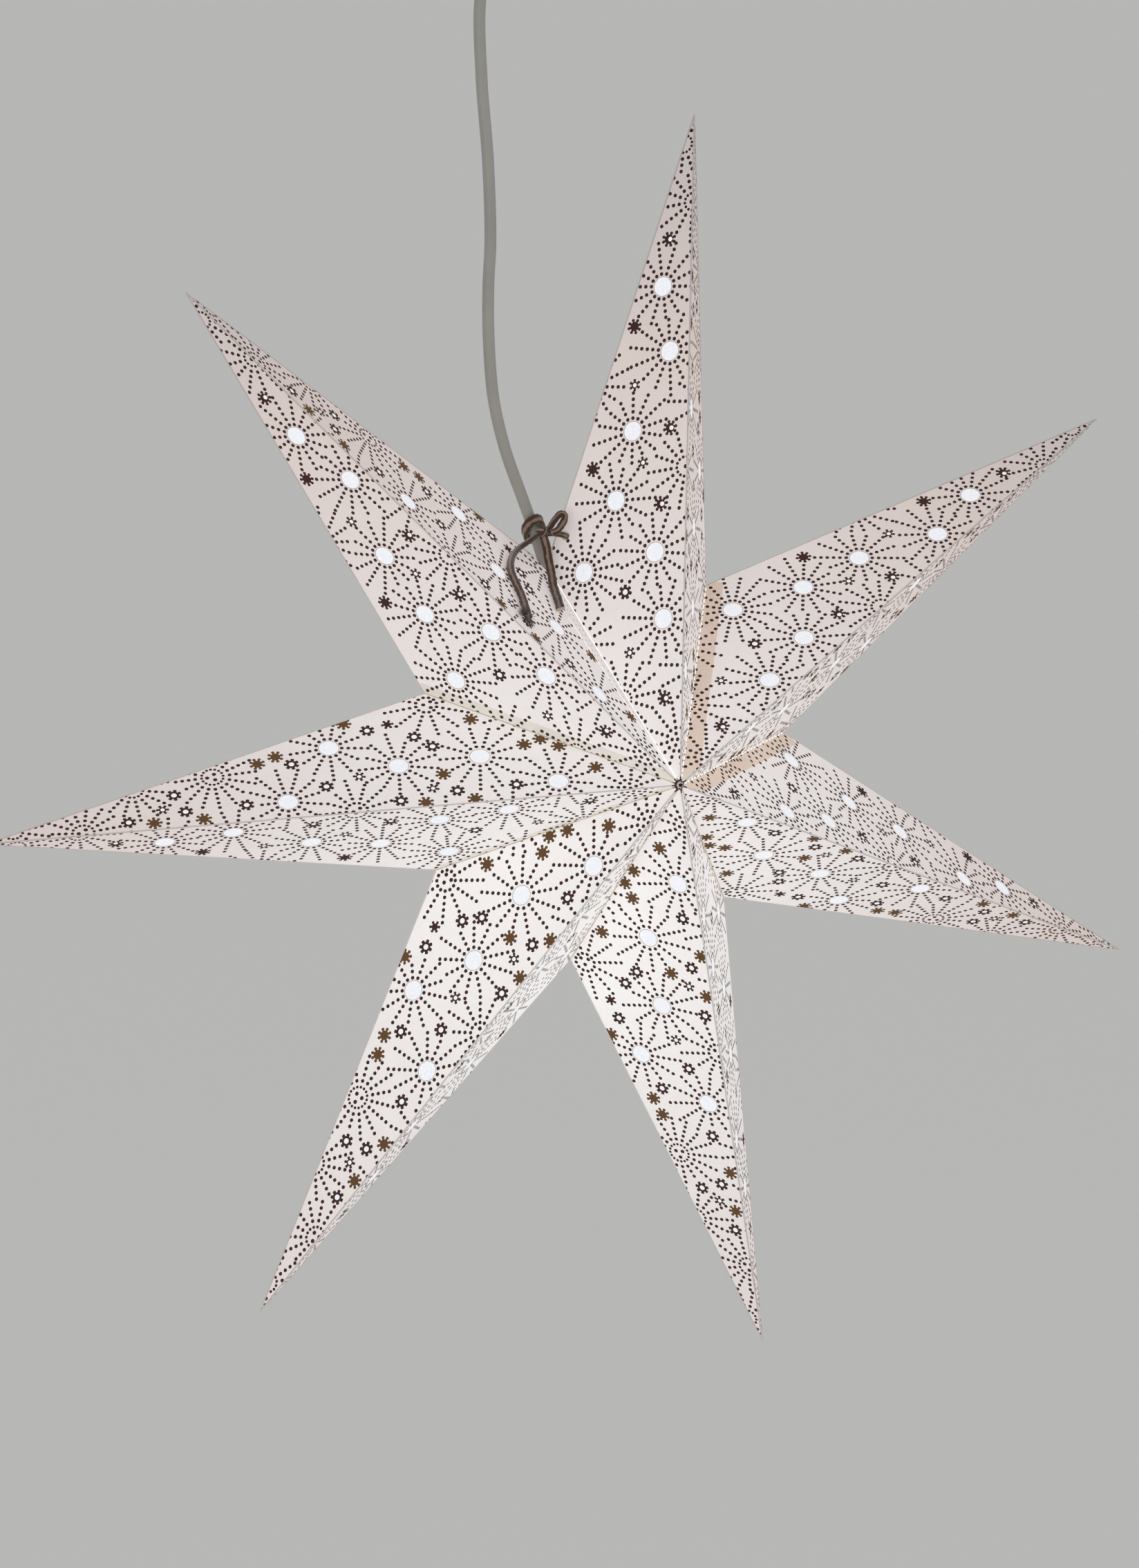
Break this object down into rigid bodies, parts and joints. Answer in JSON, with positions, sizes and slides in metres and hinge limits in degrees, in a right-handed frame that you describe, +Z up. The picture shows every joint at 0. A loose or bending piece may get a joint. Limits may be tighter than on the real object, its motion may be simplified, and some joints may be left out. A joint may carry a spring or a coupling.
{
  "type": "paper snowflake star",
  "caption": "Folding paper star lantern with punched and printed snowflake dots, hung on its cable with lampholder, bulb and ceiling fitting.",
  "frame": {"origin": "centre of the ceiling bracket's top face, where the lantern's fitting meets the ceiling", "axes": "+Z up, out of the bracket towards the ceiling; -Y is the star's front face; X runs across the star"},
  "size_m": [0.5711, 0.1732, 0.7943],
  "materials": {
    "printed_paper": "matte",
    "cable_grey": "satin",
    "velvet_brown": "matte",
    "holder_plastic": "satin",
    "holder_ceramic": "satin",
    "contact_brass": "polished",
    "bulb_glass": "clear",
    "bulb_cap_nickel": "satin",
    "bulb_insulator": "gloss",
    "bulb_filament": "satin",
    "cup_white": "satin",
    "bracket_steel": "satin",
    "terminal_plastic": "satin",
    "terminal_steel": "satin",
    "grip_plastic": "satin"
  },
  "bodies": {
    "fitting": {"ceiling_bracket": "bracket_steel", "ceiling_cup": "cup_white", "cup_screw_left": "bracket_steel", "cup_screw_right": "bracket_steel", "terminal_block": "terminal_plastic", "terminal_screw_live": "terminal_steel", "terminal_screw_neutral": "terminal_steel", "cable_in_cup": "cable_grey"},
    "grip": {"cord_grip": "grip_plastic", "cord_grip_nut": "grip_plastic"},
    "swivel": {"swivel_ring": "grip_plastic"},
    "hanging_star": {"cable": "cable_grey", "tie_band": "velvet_brown", "tie_knot": "velvet_brown", "tie_stay": "velvet_brown", "tie_tail_left": "velvet_brown", "tie_tail_right": "velvet_brown", "tie_loop": "velvet_brown", "holder_body": "holder_plastic", "holder_cap": "holder_plastic", "holder_contact_block": "holder_ceramic", "holder_screw_shell": "contact_brass", "holder_centre_contact": "contact_brass", "holder_cord_clamp": "contact_brass", "arm_1_front_left": "printed_paper"},
    "bulb": {"bulb_glass": "bulb_glass", "bulb_cap": "bulb_cap_nickel", "bulb_insulator": "bulb_insulator", "bulb_contact": "bulb_cap_nickel", "bulb_stem": "bulb_glass", "bulb_filament": "bulb_filament"},
    "fold_1_front_right": {"arm_1_front_right": "printed_paper"},
    "fold_1_back_left": {"arm_1_back_left": "printed_paper"},
    "fold_1_back_right": {"arm_1_back_right": "printed_paper"},
    "fold_2_front_left": {"arm_2_front_left": "printed_paper"},
    "fold_2_front_right": {"arm_2_front_right": "printed_paper"},
    "fold_2_back_left": {"arm_2_back_left": "printed_paper"},
    "fold_2_back_right": {"arm_2_back_right": "printed_paper"},
    "fold_3_front_left": {"arm_3_front_left": "printed_paper"},
    "fold_3_front_right": {"arm_3_front_right": "printed_paper"},
    "fold_3_back_left": {"arm_3_back_left": "printed_paper"},
    "fold_3_back_right": {"arm_3_back_right": "printed_paper"},
    "fold_4_front_left": {"arm_4_front_left": "printed_paper"},
    "fold_4_front_right": {"arm_4_front_right": "printed_paper"},
    "fold_4_back_left": {"arm_4_back_left": "printed_paper"},
    "fold_4_back_right": {"arm_4_back_right": "printed_paper"},
    "fold_5_front_left": {"arm_5_front_left": "printed_paper"},
    "fold_5_front_right": {"arm_5_front_right": "printed_paper"},
    "fold_5_back_left": {"arm_5_back_left": "printed_paper"},
    "fold_5_back_right": {"arm_5_back_right": "printed_paper"},
    "fold_6_front_left": {"arm_6_front_left": "printed_paper"},
    "fold_6_front_right": {"arm_6_front_right": "printed_paper"},
    "fold_6_back_left": {"arm_6_back_left": "printed_paper"},
    "fold_6_back_right": {"arm_6_back_right": "printed_paper"},
    "fold_7_front_left": {"arm_7_front_left": "printed_paper"},
    "fold_7_front_right": {"arm_7_front_right": "printed_paper"},
    "fold_7_back_left": {"arm_7_back_left": "printed_paper"},
    "fold_7_back_right": {"arm_7_back_right": "printed_paper"}
  },
  "joints": [
    {"name": "twist", "type": "hinge", "parent": "fitting", "child": "grip", "pos_m": [0, 0, -0.0475], "axis": [0, 0, 1], "range_deg": [-170, 170]},
    {"name": "side_swing", "type": "hinge", "parent": "grip", "child": "swivel", "pos_m": [0, 0, -0.0475], "axis": [0, 1, 0], "range_deg": [-20, 20]},
    {"name": "fore_aft_swing", "type": "hinge", "parent": "swivel", "child": "hanging_star", "pos_m": [0, 0, -0.0475], "axis": [1, 0, 0], "range_deg": [-20, 20]},
    {"name": "bulb_unscrew", "type": "slide", "parent": "hanging_star", "child": "bulb", "axis": [0, 0, -1], "range_m": [0, 0.012]},
    {"name": "fan_open", "type": "hinge", "parent": "hanging_star", "child": "fold_1_front_right", "pos_m": [0.012, -0.0875, -0.51], "axis": [0.1518, 0.28, 0.9479], "range_deg": [0, 27.16]},
    {"name": "edge_1_left", "type": "hinge", "parent": "hanging_star", "child": "fold_1_back_left", "pos_m": [-0.01516, 0, -0.41897], "axis": [0.3417, 0, 0.9398], "range_deg": [0, 26.3]},
    {"name": "edge_1_right", "type": "hinge", "parent": "fold_1_front_right", "child": "fold_1_back_right", "pos_m": [0.06624, 0, -0.432], "axis": [0.0311, 0, -0.9995], "range_deg": [0, 26.3]},
    {"name": "valley_1_2", "type": "hinge", "parent": "fold_1_front_right", "child": "fold_2_front_left", "pos_m": [0.012, -0.0875, -0.51], "axis": [-0.4199, -0.6775, -0.6039], "range_deg": [0, 32.6]},
    {"name": "ridge_2", "type": "hinge", "parent": "fold_2_front_left", "child": "fold_2_front_right", "pos_m": [0.012, -0.0875, -0.51], "axis": [0.8358, 0.28, 0.4723], "range_deg": [0, 27.2]},
    {"name": "edge_2_left", "type": "hinge", "parent": "fold_2_front_left", "child": "fold_2_back_left", "pos_m": [0.06624, 0, -0.432], "axis": [0.9478, 0, 0.3188], "range_deg": [0, 26.3]},
    {"name": "edge_2_right", "type": "hinge", "parent": "fold_2_front_right", "child": "fold_2_back_right", "pos_m": [0.1068, 0, -0.50377], "axis": [-0.7621, 0, -0.6475], "range_deg": [0, 26.3]},
    {"name": "valley_2_3", "type": "hinge", "parent": "fold_2_front_right", "child": "fold_3_front_left", "pos_m": [0.012, -0.0875, -0.51], "axis": [-0.734, -0.6775, -0.0482], "range_deg": [0, 32.6]},
    {"name": "ridge_3", "type": "hinge", "parent": "fold_3_front_left", "child": "fold_3_front_right", "pos_m": [0.012, -0.0875, -0.51], "axis": [0.8904, 0.28, -0.359], "range_deg": [0, 27.2]},
    {"name": "edge_3_left", "type": "hinge", "parent": "fold_3_front_left", "child": "fold_3_back_left", "pos_m": [0.1068, 0, -0.50377], "axis": [0.8402, 0, -0.5423], "range_deg": [0, 26.3]},
    {"name": "edge_3_right", "type": "hinge", "parent": "fold_3_front_right", "child": "fold_3_back_right", "pos_m": [0.07597, 0, -0.58023], "axis": [-0.9814, 0, 0.1921], "range_deg": [0, 26.3]},
    {"name": "valley_3_4", "type": "hinge", "parent": "fold_3_front_right", "child": "fold_4_front_left", "pos_m": [0.012, -0.0875, -0.51], "axis": [-0.4953, -0.6775, 0.5438], "range_deg": [0, 32.6]},
    {"name": "ridge_4", "type": "hinge", "parent": "fold_4_front_left", "child": "fold_4_front_right", "pos_m": [0.012, -0.0875, -0.51], "axis": [0.2745, 0.28, -0.9199], "range_deg": [0, 27.2]},
    {"name": "edge_4_left", "type": "hinge", "parent": "fold_4_front_left", "child": "fold_4_back_left", "pos_m": [0.07597, 0, -0.58023], "axis": [0.0999, 0, -0.995], "range_deg": [0, 26.3]},
    {"name": "edge_4_right", "type": "hinge", "parent": "fold_4_front_right", "child": "fold_4_back_right", "pos_m": [-0.00302, 0, -0.6038], "axis": [-0.4617, 0, 0.887], "range_deg": [0, 26.3]},
    {"name": "valley_4_5", "type": "hinge", "parent": "fold_4_front_right", "child": "fold_5_front_left", "pos_m": [0.012, -0.0875, -0.51], "axis": [0.1163, -0.6775, 0.7263], "range_deg": [0, 32.6]},
    {"name": "ridge_5", "type": "hinge", "parent": "fold_5_front_left", "child": "fold_5_front_right", "pos_m": [0.012, -0.0875, -0.51], "axis": [-0.5481, 0.28, -0.7882], "range_deg": [0, 27.2]},
    {"name": "edge_5_left", "type": "hinge", "parent": "fold_5_front_left", "child": "fold_5_back_left", "pos_m": [-0.00302, 0, -0.6038], "axis": [-0.7156, 0, -0.6985], "range_deg": [0, 26.3]},
    {"name": "edge_5_right", "type": "hinge", "parent": "fold_5_front_right", "child": "fold_5_back_right", "pos_m": [-0.07071, 0, -0.55674], "axis": [0.4057, 0, 0.914], "range_deg": [0, 26.3]},
    {"name": "valley_5_6", "type": "hinge", "parent": "fold_5_front_right", "child": "fold_6_front_left", "pos_m": [0.012, -0.0875, -0.51], "axis": [0.6404, -0.6775, 0.3619], "range_deg": [0, 32.6]},
    {"name": "ridge_6", "type": "hinge", "parent": "fold_6_front_left", "child": "fold_6_front_right", "pos_m": [0.012, -0.0875, -0.51], "axis": [-0.9579, 0.28, -0.0629], "range_deg": [0, 27.2]},
    {"name": "edge_6_left", "type": "hinge", "parent": "fold_6_front_left", "child": "fold_6_back_left", "pos_m": [-0.07071, 0, -0.55674], "axis": [-0.9923, 0, 0.124], "range_deg": [0, 26.3]},
    {"name": "edge_6_right", "type": "hinge", "parent": "fold_6_front_right", "child": "fold_6_back_right", "pos_m": [-0.07611, 0, -0.47448], "axis": [0.9675, 0, 0.2527], "range_deg": [0, 26.3]},
    {"name": "valley_6_7", "type": "hinge", "parent": "fold_6_front_right", "child": "fold_7_front_left", "pos_m": [0.012, -0.0875, -0.51], "axis": [0.6822, -0.6775, -0.275], "range_deg": [0, 32.6]},
    {"name": "ridge_7", "type": "hinge", "parent": "fold_7_front_left", "child": "fold_7_front_right", "pos_m": [0.012, -0.0875, -0.51], "axis": [-0.6464, 0.28, 0.7097], "range_deg": [0, 27.2]},
    {"name": "edge_7_left", "type": "hinge", "parent": "fold_7_front_left", "child": "fold_7_back_left", "pos_m": [-0.07611, 0, -0.47448], "axis": [-0.5217, 0, 0.8531], "range_deg": [0, 26.3]},
    {"name": "edge_7_right", "type": "hinge", "parent": "fold_7_front_right", "child": "fold_7_back_right", "pos_m": [-0.01516, 0, -0.41897], "axis": [0.8008, 0, -0.5989], "range_deg": [0, 26.3]}
  ],
  "couplings": [
    {"joint": "edge_1_left", "follows": "fan_open", "ratio": 0.96626},
    {"joint": "edge_1_right", "follows": "fan_open", "ratio": 0.96626},
    {"joint": "valley_1_2", "follows": "fan_open", "ratio": 1.1978},
    {"joint": "ridge_2", "follows": "fan_open", "ratio": 1},
    {"joint": "edge_2_left", "follows": "fan_open", "ratio": 0.96626},
    {"joint": "edge_2_right", "follows": "fan_open", "ratio": 0.96626},
    {"joint": "valley_2_3", "follows": "fan_open", "ratio": 1.1978},
    {"joint": "ridge_3", "follows": "fan_open", "ratio": 1},
    {"joint": "edge_3_left", "follows": "fan_open", "ratio": 0.96626},
    {"joint": "edge_3_right", "follows": "fan_open", "ratio": 0.96626},
    {"joint": "valley_3_4", "follows": "fan_open", "ratio": 1.1978},
    {"joint": "ridge_4", "follows": "fan_open", "ratio": 1},
    {"joint": "edge_4_left", "follows": "fan_open", "ratio": 0.96626},
    {"joint": "edge_4_right", "follows": "fan_open", "ratio": 0.96626},
    {"joint": "valley_4_5", "follows": "fan_open", "ratio": 1.1978},
    {"joint": "ridge_5", "follows": "fan_open", "ratio": 1},
    {"joint": "edge_5_left", "follows": "fan_open", "ratio": 0.96626},
    {"joint": "edge_5_right", "follows": "fan_open", "ratio": 0.96626},
    {"joint": "valley_5_6", "follows": "fan_open", "ratio": 1.1978},
    {"joint": "ridge_6", "follows": "fan_open", "ratio": 1},
    {"joint": "edge_6_left", "follows": "fan_open", "ratio": 0.96626},
    {"joint": "edge_6_right", "follows": "fan_open", "ratio": 0.96626},
    {"joint": "valley_6_7", "follows": "fan_open", "ratio": 1.1978},
    {"joint": "ridge_7", "follows": "fan_open", "ratio": 1},
    {"joint": "edge_7_left", "follows": "fan_open", "ratio": 0.96626},
    {"joint": "edge_7_right", "follows": "fan_open", "ratio": 0.96626}
  ]
}
